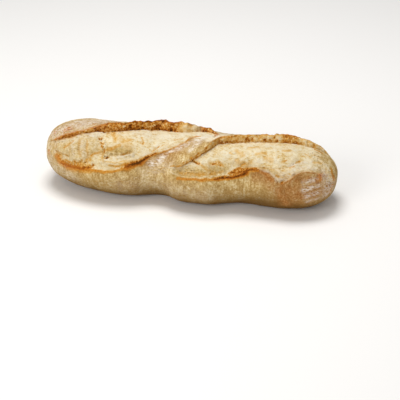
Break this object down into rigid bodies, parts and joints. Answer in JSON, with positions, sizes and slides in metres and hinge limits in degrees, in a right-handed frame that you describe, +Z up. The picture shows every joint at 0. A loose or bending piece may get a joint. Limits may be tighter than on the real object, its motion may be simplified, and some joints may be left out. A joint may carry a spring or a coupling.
{
  "type": "long loaf of bread",
  "caption": "Uncut long rustic loaf with a pinched waist, diagonal slashes opened to pale crumb under raised flaps of crust, and a flat base.",
  "frame": {"origin": "centre of the bounding box at the level of the flat base", "axes": "+X along the loaf, towards the end with the browned bulge; -Y the front, where the two openings face; +Z up"},
  "size_m": [0.3084, 0.1022, 0.0738],
  "materials": {
    "crust": "dry matt baked crust, floured, golden tan with toasted red-brown edges and cream crumb in the two openings"
  },
  "bodies": {
    "root": {"loaf": "crust"}
  },
  "joints": []
}
